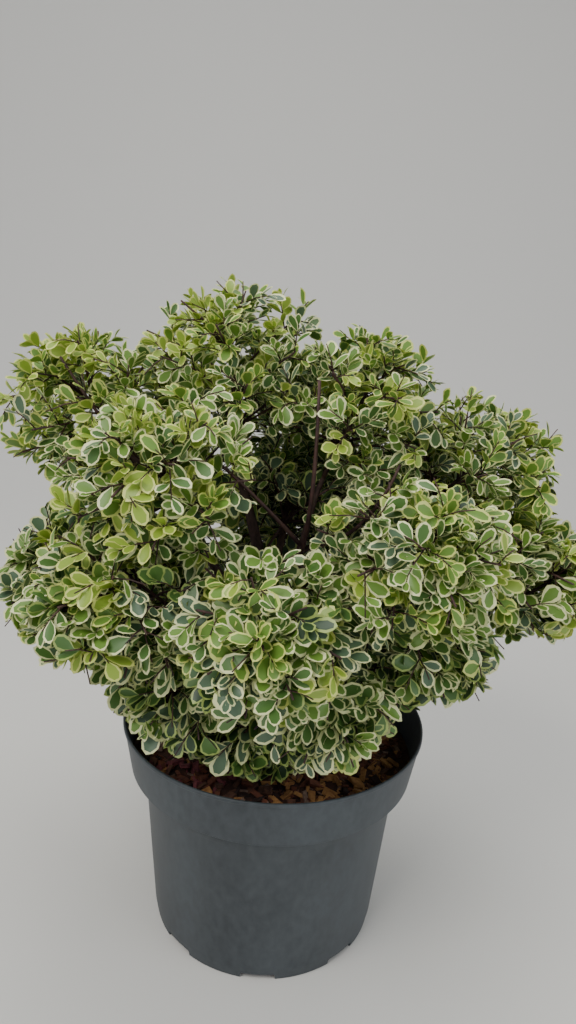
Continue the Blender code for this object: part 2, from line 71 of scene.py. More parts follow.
# Pot and mix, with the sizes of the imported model.
POT_HEIGHT = 0.200
POT_RIM_R = 0.136
LIP_DEPTH = 0.004
LIP_STANDOUT = 0.0012
BAND_FOOT_Z = 0.157
BAND_FOOT_R = 0.1285
STEP_Z = 0.1535
STEP_R = 0.1180
WALL_TOP_Z = 0.140
WALL_TOP_R = 0.1150
WALL_FOOT_Z = 0.012
WALL_FOOT_R = 0.1048
BASE_R = 0.1030
BASE_ROUND = 0.0015
BASE_FLAT_INSET = 0.0040
WALL = 0.0020
FLOOR = 0.0030
CREASE = 0.0004
FOOT_CREASE_DROP = 0.0020
NECK_OUT = 0.0008
NECK_RISE = 0.0015
STEP_CREASE_DROP = 0.0010
STEP_OUT = 0.0006
BAND_CREASE = 0.0012
LIP_CREASE_DROP = 0.0010
LIP_CREASE_IN = 0.0001
LIP_TURN_IN = 0.0003
LIP_TURN_RISE = 0.0006
LIP_ROUND = 0.0009
POT_STEPS = 180
TURNED_MERGE_DISTANCE = 1e-6
POT_SMOOTH_DEGREES = 24
NOTCH_COUNT = 8
NOTCH_WIDTH = 0.030
NOTCH_HEIGHT = 0.006
NOTCH_DEPTH = 0.012
NOTCH_ROUND = 0.002
MIX_TOP_Z = 0.1720
MIX_SINK = 0.0015
MIX_EDGE_DROP = 0.0040
MIX_WALL_GAP = 0.0003
MIX_FLAT_R = 0.050
MIX_SLOPE = 0.075
MIX_BUMPS = 0.0022
MIX_BUMP_SCALE = 55
MIX_BUMP_LAYER = 2.0
MIX_CRUMB_SCALE = 130
MIX_CRUMB_LAYER = 7.0
MIX_CRUMB_SHARE = 0.5
MIX_STEPS = 120
MIX_TOP_RINGS = 34
MIX_LEVEL_TOLERANCE = 1e-5
MIX_SMOOTH_DEGREES = 80
CHIP_COUNT = 1500
CHIP_LENGTHS = (0.005, 0.015)
CHIP_SHORT = 0.6
CHIP_WIDTHS = (0.30, 0.75)
CHIP_THICKNESSES = (0.14, 0.34)
CHIP_TAPER = 0.45
CHIP_LONG_UNEVEN = (0.8, 1.1)
CHIP_THICK_UNEVEN = (0.6, 1.15)
CHIP_PITCH = 0.32
CHIP_ROLL = 0.40
CHIP_LIFTS = (-0.0010, 0.0032)
CHIP_REACH = 0.1225
CHIP_STEM_ROOM = 0.018

# Stem and boughs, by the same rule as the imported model.
GAP = 0.0003
STEM_FOOT_Z = MIX_TOP_Z + GAP
STEM_LEVELS = (0.0, 0.012, 0.035, 0.080, 0.130, 0.185, 0.245)
STEM_RADII = (0.0150, 0.0108, 0.0090, 0.0078, 0.0066, 0.0052, 0.0034)
STEM_BEND = (-0.70, 0.20)
STEM_STEPS = 60
BOUGH_STEPS = 12
BOUGH_TAPER = 0.52
BOUGH_SINK = 0.80
BOUGH_RISE = 0.55
BOUGH_ROOT_HANDLE = 0.35
BOUGH_TIP_HANDLE = 0.30
LIMB_SIDES = 14
RING_STEP = 0.003
BARK_RELIEF = 0.07
BARK_DRAWN_IN = 0.6
BARK_GRAIN_SHARE = 0.4
BARK_GRAIN_SCALE = 900
BARK_PATTERN_SPREAD = 50
FURROW_AROUND = 3
FURROW_ALONG = 60
SCAR_RISE = 0.05
SCAR_TURN = 1.7
SCAR_SHARPNESS = 4
LIMB_SMOOTH_DEGREES = 50
CROWN_MIDDLE = Vector((0.0, 0.0, 0.335))

# Masses of foliage: middle (x, y, z) and half sizes (x, y, z).
MASSES = {
    "top_centre": ((-0.052, 0.015, 0.506), (0.096, 0.086, 0.080)),
    "top_left": ((-0.160, 0.012, 0.466), (0.090, 0.090, 0.080)),
    "top_right": ((0.052, -0.008, 0.480), (0.078, 0.088, 0.076)),
    "upper_front": ((-0.085, -0.105, 0.438), (0.085, 0.080, 0.070)),
    "upper_back": ((0.010, 0.110, 0.455), (0.094, 0.086, 0.076)),
    "right": ((0.150, 0.012, 0.430), (0.084, 0.088, 0.076)),
    "front_right": ((0.090, -0.112, 0.392), (0.086, 0.084, 0.068)),
    "far_right": ((0.205, -0.012, 0.354), (0.068, 0.082, 0.062)),
    "left": ((-0.180, -0.012, 0.325), (0.060, 0.086, 0.070)),
    "front_left": ((-0.112, -0.120, 0.352), (0.080, 0.080, 0.066)),
    "front": ((-0.010, -0.150, 0.345), (0.076, 0.070, 0.068)),
    "middle": ((0.012, 0.040, 0.392), (0.080, 0.070, 0.066)),
    "back_left": ((-0.130, 0.115, 0.372), (0.090, 0.086, 0.080)),
    "back_right": ((0.130, 0.115, 0.370), (0.090, 0.086, 0.076)),
    "back": ((0.000, 0.148, 0.345), (0.086, 0.070, 0.076)),
    "skirt_right": ((0.106, -0.056, 0.310), (0.074, 0.078, 0.058)),
    "skirt_front": ((0.036, -0.098, 0.276), (0.066, 0.066, 0.060)),
    "skirt_left": ((-0.072, -0.066, 0.268), (0.076, 0.074, 0.060)),
    "low_front": ((-0.016, -0.062, 0.224), (0.070, 0.058, 0.042)),
    "skirt_back_left": ((-0.100, 0.086, 0.280), (0.084, 0.080, 0.060)),
    "skirt_back_right": ((0.092, 0.086, 0.282), (0.084, 0.080, 0.060)),
}

# Boughs: the limb it leaves, how far along that limb, and its radius at the root.
BOUGHS = {
    "low_front": ("stem", 0.100, 0.0026),
    "skirt_back_right": ("stem", 0.150, 0.0032),
    "skirt_left": ("stem", 0.185, 0.0030),
    "skirt_front": ("stem", 0.215, 0.0030),
    "skirt_back_left": ("stem", 0.230, 0.0032),
    "skirt_right": ("stem", 0.270, 0.0032),
    "left": ("stem", 0.315, 0.0042),
    "back": ("stem", 0.345, 0.0038),
    "front": ("stem", 0.370, 0.0040),
    "right": ("stem", 0.425, 0.0046),
    "top_left": ("stem", 0.470, 0.0046),
    "upper_back": ("stem", 0.525, 0.0042),
    "top_right": ("stem", 0.580, 0.0042),
    "middle": ("stem", 0.700, 0.0024),
    "front_left": ("left", 0.40, 0.0031),
    "far_right": ("right", 0.50, 0.0031),
    "front_right": ("right", 0.24, 0.0031),
    "upper_front": ("top_left", 0.30, 0.0032),
    "back_left": ("top_left", 0.52, 0.0030),
    "back_right": ("upper_back", 0.34, 0.0031),
}

# Stems that show through the foliage: the mass each belongs to, its end radii and its points.
SHOWN_STEMS = [
    ("middle", (0.0030, 0.0012),
     ((-0.008, 0.002, 0.335), (0.0150, -0.060, 0.3816), (0.0186, -0.060, 0.5100))),
    ("upper_front", (0.0020, 0.0011),
     ((0.0124, -0.0605, 0.3820), (-0.022, -0.061, 0.416), (-0.0605, -0.060, 0.4488))),
    ("top_left", (0.0024, 0.0011),
     ((-0.105, 0.004, 0.402), (-0.1341, -0.020, 0.4403), (-0.1857, -0.020, 0.5120))),
    ("top_right", (0.0020, 0.0011),
     ((0.030, -0.040, 0.376), (0.0604, -0.070, 0.4080), (0.0827, -0.070, 0.4524))),
    ("far_right", (0.0018, 0.0010),
     ((0.180, -0.014, 0.326), (0.2145, -0.020, 0.3417), (0.2440, -0.020, 0.3720))),
    ("front_left", (0.0017, 0.0010),
     ((-0.072, -0.105, 0.336), (-0.0904, -0.120, 0.3560), (-0.112, -0.126, 0.376))),
]
STEM_CURVE_STEPS = 12
STEM_HIDDEN_SHARE = 3
SHOWN_STEM_SIDES = 8
SIGHT_GAP = 0.0026

# Twigs and leaves.
MAIN_TWIG_SINK = 0.001
MAIN_TWIG_STRAIGHT = 0.012
MAIN_TWIG_STEP_DOWN = 0.95
MAIN_TWIG_REACH = 0.62
MAIN_TWIG_ROOT_R = 0.0024
MAIN_TWIG_TIP_R = 0.0014
MAIN_TWIG_SIDES = 6
MAIN_SPRAY_FOOT = 0.72
MAIN_SPRAY_SPREAD = 0.26
SIDE_TWIGS = 26
SIDE_TWIG_REACH = 0.84
SIDE_TWIG_RADII = (0.0013, 0.0008)
SIDE_TWIG_SIDES = 4
TWIG_LEAST_OUTWARD = -0.55
TWIG_FOOT = 0.30
TWIG_FOOT_SPREAD = 0.50
TWIG_SHORTENING = (1.0, 0.88, 0.76, 0.64, 0.52)
TWIG_ARCH = 0.10
TWIG_ARCHES = (0.3, 1.2)
SIDE_SPRAY_FOOT = 0.30
SIDE_SPRAY_SPREAD = 0.70
SPRAYS = 8
SPRAY_LENGTHS = (0.015, 0.032)
SPRAY_RADII = (0.0007, 0.0005)
SPRAY_LEAN = 0.62
SPRAY_TIP_LEAN = 0.12
SPRAY_OUTWARD = 0.15
SPRAY_ARCH = 0.06
SPRAY_TEST_PLACE = 0.6
SPRAY_SIDES = 3
SPRAY_BARE = 0.18
SPRAY_CROWDING = 0.8
SPRAY_LEAVES = 9
SPRAY_REACH = (0.88, 1.07)
SKIRT_DROOP = 0.22
LEAF_LOW_LENGTH = 0.0225
LEAF_TOP_LENGTH = 0.0150
LEAF_LOW_Z = 0.22
LEAF_TOP_Z = 0.52
LEAF_SIZES = (0.70, 1.15)
YOUNG_LEAVES = 2
YOUNG_LEAF_SIZE = 0.7
LEAF_FORWARD = (0.35, 0.75)
LEAF_AWAY = (1.0, -0.35)
LEAF_OUTWARD = 0.18
LEAF_UP = Vector((0, -0.10, 0.55))
LEAF_UP_OUTWARD = 0.38
LEAF_UP_AWAY = 0.20
LEAF_UP_ALONG = 0.25
LEAF_UP_SCATTER = 0.36
LEAF_LEAST_FACING = 0.25
LEAF_WIDTHS = (0.50, 0.68)
LEAF_STATIONS = (0.13, 0.38, 0.66, 0.88)
LEAF_HALF_WIDTHS = (0.26, 0.82, 1.0, 0.66)
GREEN_SHARES = (0.58, 0.70, 0.68, 0.46)
LEAF_COLUMNS = (-1.0, -0.5, 0.0, 0.5, 1.0)
LEAF_FOLDS = (0.02, 0.16)
LEAF_DROOPS = (-0.02, 0.16)
LEAF_WAVE = 0.035
LEAF_WAVES = (0.2, 1.0)
LEAF_WAVE_TURN = 7.0
GREEN_SIZES = (0.82, 1.16)
GREEN_MOST = 0.9
CELL_OVERLAP = 0.020
BEAD_STEP = 0.003
BEAD_REACH = 0.03
LIMB_ROOM = 0.0018
POT_ROOM = 0.0022
GOLDEN_ANGLE = math.pi * (3.0 - math.sqrt(5.0))

# Greens for leaf centres and creams for leaf margins, as sRGB values, from sunlit to shaded.
GREENS = {
    "leaf_green_bright": (146, 172, 62),
    "leaf_green_fresh": (106, 142, 56),
    "leaf_green_mid": (76, 112, 50),
    "leaf_green_grey": (82, 108, 80),
    "leaf_green_deep": (42, 68, 38),
}
CREAMS = {
    "leaf_cream_pale": (232, 234, 174),
    "leaf_cream_yellow": (214, 220, 122),
    "leaf_cream_green": (162, 180, 98),
}
# Pairs of green and cream that the sprays take, from sunlit to shaded: painted light and shade.
SPRAY_COLOURS = (
    ("leaf_green_bright", "leaf_cream_yellow"),
    ("leaf_green_fresh", "leaf_cream_yellow"),
    ("leaf_green_fresh", "leaf_cream_pale"),
    ("leaf_green_mid", "leaf_cream_pale"),
    ("leaf_green_grey", "leaf_cream_pale"),
    ("leaf_green_mid", "leaf_cream_green"),
    ("leaf_green_deep", "leaf_cream_green"),
)
# Where the painted light and shade falls on the sprays: lighter higher up and further out, with some scatter.
CROWN_HALF_WIDTH = 0.26
CROWN_HALF_DEPTH = 0.21
LIGHT_FROM_HEIGHT = 0.62
LIGHT_FROM_OUTSIDE = 0.38
LIGHT_SCATTER = 0.22
LEAF_ROUGHNESS = 0.42

# How the mottle of the plastic, bark and mix is made up.
COARSE_DETAIL = 5.0
COARSE_ROUGHNESS = 0.6
COARSE_SHARE = 0.65
FINE_DETAIL = 3.0
FINE_SHARE = 0.35
MOTTLE_RANGE = (0.36, 0.64)

# Colours of bark chips, dark and light, as sRGB values, and how often each is taken.
CHIP_BROWNS = {
    "chip_red_brown": ((70, 38, 26), (122, 70, 48)),
    "chip_brown": ((58, 36, 26), (104, 68, 50)),
    "chip_dark": ((26, 17, 15), (60, 38, 32)),
    "chip_grey": ((84, 66, 56), (138, 112, 96)),
    "chip_ochre": ((122, 82, 44), (172, 126, 74)),
    "chip_purple": ((78, 34, 40), (128, 66, 70)),
}
CHIP_TONES = (0, 0, 1, 1, 2, 3)
COMMON_TONE_SHARE = 0.9
OCHRE_TONE = 4
OCHRE_CORNER = (0.02, -0.02)
OCHRE_SHARE = 0.5
PURPLE_TONE = 5
PURPLE_CORNER = (-0.03, 0.0)
PURPLE_SHARE = 0.35

# Floor and wall behind, and the lights: place, aim, size, power in watts and colour.
FLOOR_NEAR = -3.0
FLOOR_FAR = 1.1
FLOOR_HALF_WIDTH = 4.0
COVE_R = 1.2
COVE_STEP_DEGREES = 10
WALL_BEHIND_TOP = 4.0
FLOOR_SMOOTH_DEGREES = 60
FLOOR_COLOUR = (222, 220, 214)
FLOOR_ROUGHNESS = 0.7
SKY_COLOUR = (0.90, 0.93, 1.0, 1.0)
SKY_STRENGTH = 0.55
LIGHTS = {
    "key": ((-0.9, -1.1, 1.9), (0, 0, 0.35), (1.2, 1.0), 26.0, (1.0, 0.98, 0.94)),
    "fill": ((1.5, -0.9, 1.1), (0, 0, 0.3), (1.2, 1.2), 8.0, (0.95, 0.98, 1.0)),
    "top": ((0.1, 0.3, 2.2), (0, 0, 0.4), (1.6, 1.2), 16.0, (1.0, 1.0, 0.97)),
}


def linear(colour):
    """An sRGB colour of 0 to 255 as the linear values that a shader takes."""
    out = []
    for value in colour:
        value = value / 255.0
        out.append(value / 12.92 if value <= 0.04045 else ((value + 0.055) / 1.055) ** 2.4)
    return (*out, 1.0)


def plain_material(name, colour, roughness):
    made = bpy.data.materials.new(name)
    made.use_nodes = True
    shader = made.node_tree.nodes["Principled BSDF"]
    shader.inputs["Base Color"].default_value = linear(colour)
    shader.inputs["Roughness"].default_value = roughness
    return made


def mottle_group():
    """Shared effect: two sizes of mottling and fine grain, as a colour mix, roughness and height."""
    group = bpy.data.node_groups.new("mottle", "ShaderNodeTree")
    face = group.interface
    for name, kind in (("Coarse Scale", "NodeSocketFloat"), ("Fine Scale", "NodeSocketFloat"),
                       ("Stretch", "NodeSocketVector"), ("Dark", "NodeSocketColor"),
                       ("Light", "NodeSocketColor"), ("Rough Low", "NodeSocketFloat"),
                       ("Rough High", "NodeSocketFloat")):
        face.new_socket(name=name, in_out="INPUT", socket_type=kind)
    for name, kind in (("Color", "NodeSocketColor"), ("Roughness", "NodeSocketFloat"),
                       ("Height", "NodeSocketFloat")):
        face.new_socket(name=name, in_out="OUTPUT", socket_type=kind)
    nodes, links = group.nodes, group.links
    taken = nodes.new("NodeGroupInput")
    given = nodes.new("NodeGroupOutput")
    coords = nodes.new("ShaderNodeTexCoord")
    stretch = nodes.new("ShaderNodeVectorMath")
    stretch.operation = "MULTIPLY"
    links.new(coords.outputs["Object"], stretch.inputs[0])
    links.new(taken.outputs["Stretch"], stretch.inputs[1])
    coarse = nodes.new("ShaderNodeTexNoise")
    coarse.inputs["Detail"].default_value = COARSE_DETAIL
    coarse.inputs["Roughness"].default_value = COARSE_ROUGHNESS
    fine = nodes.new("ShaderNodeTexNoise")
    fine.inputs["Detail"].default_value = FINE_DETAIL
    for texture, scale in ((coarse, "Coarse Scale"), (fine, "Fine Scale")):
        links.new(stretch.outputs[0], texture.inputs["Vector"])
        links.new(taken.outputs[scale], texture.inputs["Scale"])
    both = nodes.new("ShaderNodeMath")
    both.operation = "MULTIPLY_ADD"
    both.inputs[1].default_value = COARSE_SHARE
    links.new(coarse.outputs["Fac"], both.inputs[0])
    part = nodes.new("ShaderNodeMath")
    part.operation = "MULTIPLY"
    part.inputs[1].default_value = FINE_SHARE
    links.new(fine.outputs["Fac"], part.inputs[0])
    links.new(part.outputs[0], both.inputs[2])
    spread = nodes.new("ShaderNodeMapRange")
    spread.inputs["From Min"].default_value = MOTTLE_RANGE[0]
    spread.inputs["From Max"].default_value = MOTTLE_RANGE[1]
    links.new(both.outputs[0], spread.inputs["Value"])
    mixed = nodes.new("ShaderNodeMix")
    mixed.data_type = "RGBA"
    links.new(spread.outputs["Result"], mixed.inputs["Factor"])
    links.new(taken.outputs["Dark"], mixed.inputs["A"])
    links.new(taken.outputs["Light"], mixed.inputs["B"])
    rough = nodes.new("ShaderNodeMapRange")
    links.new(both.outputs[0], rough.inputs["Value"])
    links.new(taken.outputs["Rough Low"], rough.inputs["To Min"])
    links.new(taken.outputs["Rough High"], rough.inputs["To Max"])
    links.new(mixed.outputs["Result"], given.inputs["Color"])
    links.new(rough.outputs["Result"], given.inputs["Roughness"])
    links.new(both.outputs[0], given.inputs["Height"])
    return group


def mottled_material(name, group, dark, light, coarse, fine, stretch, rough, bump):
    """A Principled material whose colour, roughness (low and high) and bump (strength and
    distance) follow the mottle group."""
    made = plain_material(name, light, rough[1])
    nodes, links = made.node_tree.nodes, made.node_tree.links
    shader = nodes["Principled BSDF"]
    effect = nodes.new("ShaderNodeGroup")
    effect.node_tree = group
    effect.inputs["Coarse Scale"].default_value = coarse
    effect.inputs["Fine Scale"].default_value = fine
    effect.inputs["Stretch"].default_value = stretch
    effect.inputs["Dark"].default_value = linear(dark)
    effect.inputs["Light"].default_value = linear(light)
    effect.inputs["Rough Low"].default_value = rough[0]
    effect.inputs["Rough High"].default_value = rough[1]
    raised = nodes.new("ShaderNodeBump")
    raised.inputs["Strength"].default_value = bump[0]
    raised.inputs["Distance"].default_value = bump[1]
    links.new(effect.outputs["Height"], raised.inputs["Height"])
    links.new(effect.outputs["Color"], shader.inputs["Base Color"])
    links.new(effect.outputs["Roughness"], shader.inputs["Roughness"])
    links.new(raised.outputs["Normal"], shader.inputs["Normal"])
    return made


def new_object(name, mesh, body="root"):
    made = bpy.data.objects.new(name, mesh)
    bpy.context.scene.collection.objects.link(made)
    if body:
        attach(made, body)
    return made


def from_bmesh(name, bm, surface, smooth_angle=None, body="root"):
    """A finished piece from a bmesh, with its normals outwards and one surface."""
    bmesh.ops.remove_doubles(bm, verts=bm.verts, dist=MERGE_DISTANCE)
    bmesh.ops.recalc_face_normals(bm, faces=bm.faces)
    if smooth_angle is not None:
        for face in bm.faces:
            face.smooth = True
        for edge in bm.edges:
            edge.smooth = len(edge.link_faces) == 2 and edge.calc_face_angle(0.0) < smooth_angle
    mesh = bpy.data.meshes.new(name)
    bm.to_mesh(mesh)
    bm.free()
    mesh.materials.append(surface)
    return new_object(name, mesh, body)


def along_line(points, share):
    """The point and heading at a share of a line's length."""
    lengths = [(b - a).length for a, b in zip(points, points[1:])]
    left = share * sum(lengths)
    for a, b, length in zip(points, points[1:], lengths):
        if left <= length or b is points[-1]:
            return a.lerp(b, min(1.0, left / length)), (b - a).normalized()
        left -= length


def at_level(levels, values, level):
    """A value between the named levels, in straight steps."""
    return float(np.interp(level, levels, values))


def stem_line():
    """The stem's line and radii, upright at the foot and bending more towards its top."""
    points, radii = [], []
    for i in range(STEM_STEPS + 1):
        level = STEM_LEVELS[-1] * i / STEM_STEPS
        points.append(Vector((STEM_BEND[0] * level**2, STEM_BEND[1] * level**2, STEM_FOOT_Z + level)))
        radii.append(at_level(STEM_LEVELS, STEM_RADII, level))
    return points, radii


def bough_line(name, parent_points, share, root_radius):
    """One tapering bough from its parent to the edge of its mass's space."""
    start, _ = along_line(parent_points, share)
    centre, half = (Vector(v) for v in MASSES[name])
    inward = start - centre
    reach = 1.0 / math.sqrt(sum((inward.normalized()[k] / half[k]) ** 2 for k in range(3)))
    end = centre + inward.normalized() * reach * BOUGH_SINK
    span = (end - start).length
    out = Vector((end.x - start.x, end.y - start.y, 0.0)).normalized()
    first = start + (out + Vector((0, 0, BOUGH_RISE))).normalized() * span * BOUGH_ROOT_HANDLE
    second = end - (centre - end).normalized() * span * BOUGH_TIP_HANDLE
    points, radii = [], []
    for i in range(BOUGH_STEPS + 1):
        t = i / BOUGH_STEPS
        near = start * (1 - t) ** 3 + first * 3 * t * (1 - t) ** 2
        points.append(near + second * 3 * t * t * (1 - t) + end * t**3)
        radii.append(root_radius * (1.0 - (1.0 - BOUGH_TAPER) * t))
    return points, radii


def resampled(points, radii, step):
    """The same line with points no further apart than step, and radii between its own."""
    out, sizes = [points[0]], [radii[0]]
    for a, b, r, s in zip(points, points[1:], radii, radii[1:]):
        count = max(1, math.ceil((b - a).length / step))
        for i in range(1, count + 1):
            out.append(a.lerp(b, i / count))
            sizes.append(r + (s - r) * i / count)
    return out, sizes


def bark_limb(name, points, radii, surface):
    """A limb with bark relief: rings pushed in and out by furrows that run along it, with leaf scars."""
    points, radii = resampled(points, radii, RING_STEP)
    headings = [(b - a).normalized() for a, b in zip(points, points[1:])]
    turns = [headings[0]] + [(a + b).normalized() for a, b in zip(headings, headings[1:])] + [headings[-1]]
    bm = bmesh.new()
    bmesh.ops.create_circle(bm, cap_ends=True, segments=LIMB_SIDES, radius=radii[0])
    place = Matrix.Translation(points[0]) @ turns[0].to_track_quat("Z", "Y").to_matrix().to_4x4()
    bmesh.ops.transform(bm, matrix=place, verts=bm.verts)
    bm.faces.ensure_lookup_table()
    cap = bm.faces[0]
    rings = [(list(cap.verts), points[0], radii[0])]
    for i in range(1, len(points)):
        last = cap
        grown = bmesh.ops.extrude_face_region(bm, geom=[last])["geom"]
        cap = next(g for g in grown if isinstance(g, bmesh.types.BMFace))
        if i > 1:
            bmesh.ops.delete(bm, geom=[last], context="FACES_ONLY")
        bend = turns[i - 1].rotation_difference(turns[i])
        scale = radii[i] / radii[i - 1]
        for corner in cap.verts:
            corner.co = points[i] + bend @ (corner.co - points[i - 1]) * scale
        rings.append((list(cap.verts), points[i], radii[i]))
    offset = Vector((rng.uniform(0, BARK_PATTERN_SPREAD), 0, 0))
    for k, (corners, middle, radius) in enumerate(rings):
        scar = 1.0 + SCAR_RISE * max(0.0, math.sin(k * SCAR_TURN)) ** SCAR_SHARPNESS
        for corner in corners:
            away = (corner.co - middle).normalized()
            around = Vector((away.x * FURROW_AROUND, away.y * FURROW_AROUND, corner.co.z * FURROW_ALONG))
            furrow = noise.noise(around + offset)
            fine = noise.noise(corner.co * BARK_GRAIN_SCALE + offset)
            relief = BARK_RELIEF * (furrow + BARK_GRAIN_SHARE * fine)
            size = radius * scar * (1.0 - BARK_RELIEF * BARK_DRAWN_IN + relief)
            corner.co = middle + away * size
    return from_bmesh(name, bm, surface, smooth_angle=math.radians(LIMB_SMOOTH_DEGREES))


def pot_profile():
    """Pairs of radius and height from the axis under the floor, round the lip and back inside."""
    outer = [(BASE_R - BASE_FLAT_INSET, 0.0), (BASE_R - BASE_ROUND, 0.0)]
    outer += arc((BASE_R - BASE_ROUND, BASE_ROUND), BASE_ROUND, -90, 0, 4)
    outer += [(WALL_FOOT_R - CREASE, WALL_FOOT_Z - FOOT_CREASE_DROP), (WALL_FOOT_R, WALL_FOOT_Z)]
    outer += [(WALL_TOP_R, WALL_TOP_Z), (WALL_TOP_R + NECK_OUT, WALL_TOP_Z + NECK_RISE)]
    outer += [(STEP_R - CREASE, STEP_Z - STEP_CREASE_DROP), (STEP_R + STEP_OUT, STEP_Z)]
    outer += [(BAND_FOOT_R - BAND_CREASE, BAND_FOOT_Z - BAND_CREASE), (BAND_FOOT_R, BAND_FOOT_Z)]
    lip_foot = POT_HEIGHT - LIP_DEPTH
    band_top = POT_RIM_R - LIP_STANDOUT
    outer += [(band_top - LIP_CREASE_IN, lip_foot - LIP_CREASE_DROP), (band_top, lip_foot)]
    outer += [(POT_RIM_R - LIP_TURN_IN, lip_foot + LIP_TURN_RISE), (POT_RIM_R, lip_foot + LIP_STANDOUT)]
    outer += arc((POT_RIM_R - LIP_ROUND, POT_HEIGHT - LIP_ROUND), LIP_ROUND, 0, 90, 4)
    inner = arc((POT_RIM_R - WALL + CREASE, POT_HEIGHT - CREASE), CREASE, 90, 180, 2)
    inner += [(BAND_FOOT_R - WALL, BAND_FOOT_Z + WALL), (STEP_R - WALL, STEP_Z + WALL)]
    inner += [(WALL_TOP_R - WALL, WALL_TOP_Z), (WALL_FOOT_R - WALL, WALL_FOOT_Z)]
    inner += [(BASE_R - WALL, FLOOR)]
    return [(0.0, 0.0)] + outer + inner + [(0.0, FLOOR)]


def arc(centre, radius, start, end, steps):
    """Points on an arc in the profile's plane, from start to end in degrees."""
    out = []
    for i in range(steps + 1):
        turn = math.radians(start + (end - start) * i / steps)
        out.append((centre[0] + radius * math.cos(turn), centre[1] + radius * math.sin(turn)))
    return out


def turned(profile, steps):
    bm = bmesh.new()
    corners = [bm.verts.new((r, 0.0, z)) for r, z in profile]
    edges = [bm.edges.new(pair) for pair in zip(corners, corners[1:])]
    bmesh.ops.spin(bm, geom=corners + edges, cent=(0, 0, 0), axis=(0, 0, 1), angle=2 * math.pi,
                   steps=steps, use_merge=True)
    bmesh.ops.remove_doubles(bm, verts=bm.verts, dist=TURNED_MERGE_DISTANCE)
    return bm


def notch_cutter():
    """All the drainage notches as one set of rounded blocks round the pot's foot."""
    bm = bmesh.new()
    reach = NOTCH_DEPTH * 2.0
    for k in range(NOTCH_COUNT):
        made = bmesh.ops.create_cube(bm, size=1.0)["verts"]
        size = Matrix.Diagonal((reach, NOTCH_WIDTH, NOTCH_HEIGHT * 2.0, 1.0))
        move = Matrix.Translation((BASE_R - NOTCH_DEPTH + reach / 2.0, 0.0, 0.0))
        turn = Matrix.Rotation(2.0 * math.pi * k / NOTCH_COUNT - math.pi / 2.0, 4, "Z")
        bmesh.ops.transform(bm, matrix=turn @ move @ size, verts=made)
    bmesh.ops.bevel(bm, geom=bm.edges[:], offset=NOTCH_ROUND, segments=3, profile=0.5,
                    affect="EDGES", material=-1)
    bmesh.ops.recalc_face_normals(bm, faces=bm.faces)
    mesh = bpy.data.meshes.new("notch_cutter")
    bm.to_mesh(mesh)
    bm.free()
    made = bpy.data.objects.new("notch_cutter", mesh)
    bpy.context.scene.collection.objects.link(made)
    return made


def build_pot(surface):
    pot = from_bmesh("pot_shell", turned(pot_profile(), POT_STEPS), surface)
    cutter = notch_cutter()
    cut = pot.modifiers.new("notches", "BOOLEAN")
    cut.operation = "DIFFERENCE"
    cut.object = cutter
    cut.solver = "EXACT"
    view = bpy.context.evaluated_depsgraph_get()
    result = bpy.data.meshes.new_from_object(pot.evaluated_get(view))
    pot.modifiers.remove(cut)
    bpy.data.objects.remove(cutter, do_unlink=True)
    pot.data = result
    bm = bmesh.new()
    bm.from_mesh(result)
    for face in bm.faces:
        face.smooth = True
        face.material_index = 0
    sharp = math.radians(POT_SMOOTH_DEGREES)
    for edge in bm.edges:
        edge.smooth = len(edge.link_faces) == 2 and edge.calc_face_angle(0.0) < sharp
    bm.to_mesh(result)
    bm.free()
    result.materials.clear()
    result.materials.append(surface)
    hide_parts("pot")
    return pot


def mix_height(x, y):
    """Height of the mix's bumpy top."""
    out = math.hypot(x, y)
    edge = max(0.0, (out - MIX_FLAT_R) / MIX_SLOPE)
    bumps = noise.noise(Vector((x * MIX_BUMP_SCALE, y * MIX_BUMP_SCALE, MIX_BUMP_LAYER)))
    crumbs = noise.noise(Vector((x * MIX_CRUMB_SCALE, y * MIX_CRUMB_SCALE, MIX_CRUMB_LAYER)))
    bumps += MIX_CRUMB_SHARE * crumbs
    return MIX_TOP_Z - MIX_SINK - MIX_EDGE_DROP * min(1.0, edge) + MIX_BUMPS * bumps


def mix_wall_radius(z):
    """The pot's inside radius at a height, less the small gap that the mix keeps."""
    share = (z - BAND_FOOT_Z - WALL) / (POT_HEIGHT - BAND_FOOT_Z - WALL)
    return BAND_FOOT_R - WALL + (POT_RIM_R - BAND_FOOT_R) * share - MIX_WALL_GAP


def build_mix(surface):
    """The root ball: a turned block whose top is broken up into crumbs and hollows."""
    edge_z = MIX_TOP_Z - MIX_SINK - MIX_EDGE_DROP
    thick = WALL + MIX_WALL_GAP
    wall = [(BASE_R - thick, FLOOR + MIX_WALL_GAP), (WALL_FOOT_R - thick, WALL_FOOT_Z)]
    wall += [(WALL_TOP_R - thick, WALL_TOP_Z), (STEP_R - thick, STEP_Z + WALL)]
    wall += [(mix_wall_radius(edge_z), edge_z)]
    edge_r = wall[-1][0]
    top = [(edge_r * (1.0 - i / MIX_TOP_RINGS), MIX_TOP_Z) for i in range(1, MIX_TOP_RINGS)]
    profile = [(0.0, wall[0][1])] + wall + top + [(0.0, MIX_TOP_Z)]
    bm = turned(profile, MIX_STEPS)
    for corner in bm.verts:
        if corner.co.z > edge_z + MIX_LEVEL_TOLERANCE:
            corner.co.z = mix_height(corner.co.x, corner.co.y)
    made = from_bmesh("growing_mix_top", bm, surface, smooth_angle=math.radians(MIX_SMOOTH_DEGREES))
    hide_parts("growing_mix")
    return made


